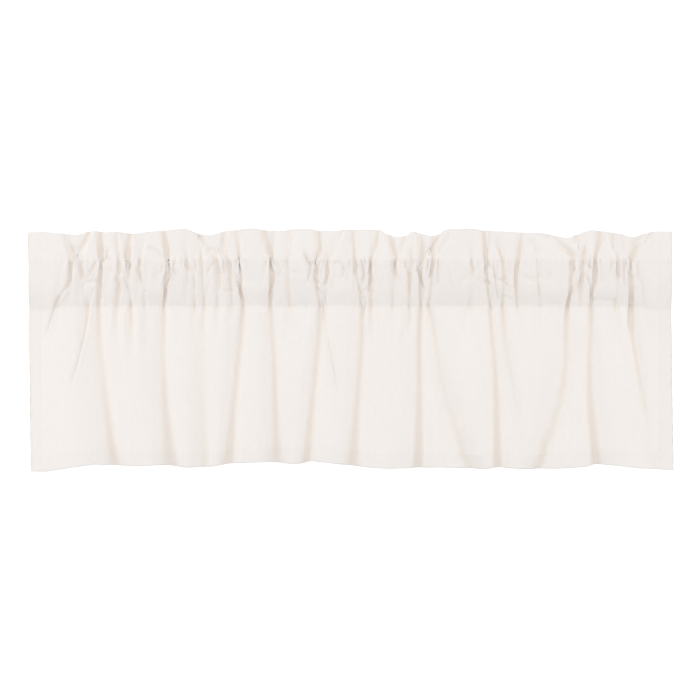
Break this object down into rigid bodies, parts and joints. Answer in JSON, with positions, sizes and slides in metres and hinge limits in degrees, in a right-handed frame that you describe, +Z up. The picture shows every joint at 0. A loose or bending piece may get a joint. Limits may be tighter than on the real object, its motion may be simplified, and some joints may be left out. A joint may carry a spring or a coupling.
{
  "type": "window valance",
  "caption": "Short gathered cotton curtain for the top of a window, with a standing header ruffle and a rod pocket that is open at both ends.",
  "frame": {"origin": "middle of the header's top edge, where the valance is named as held up", "axes": "+X along the rod to the right as seen from the room, +Y from the room towards the window, +Z up"},
  "size_m": [1.1, 0.0481, 0.4111],
  "materials": {
    "cotton_cloth": "matt plain-weave cotton, natural white, a little sheer"
  },
  "bodies": {
    "root": {"valance": "cotton_cloth"}
  },
  "joints": []
}
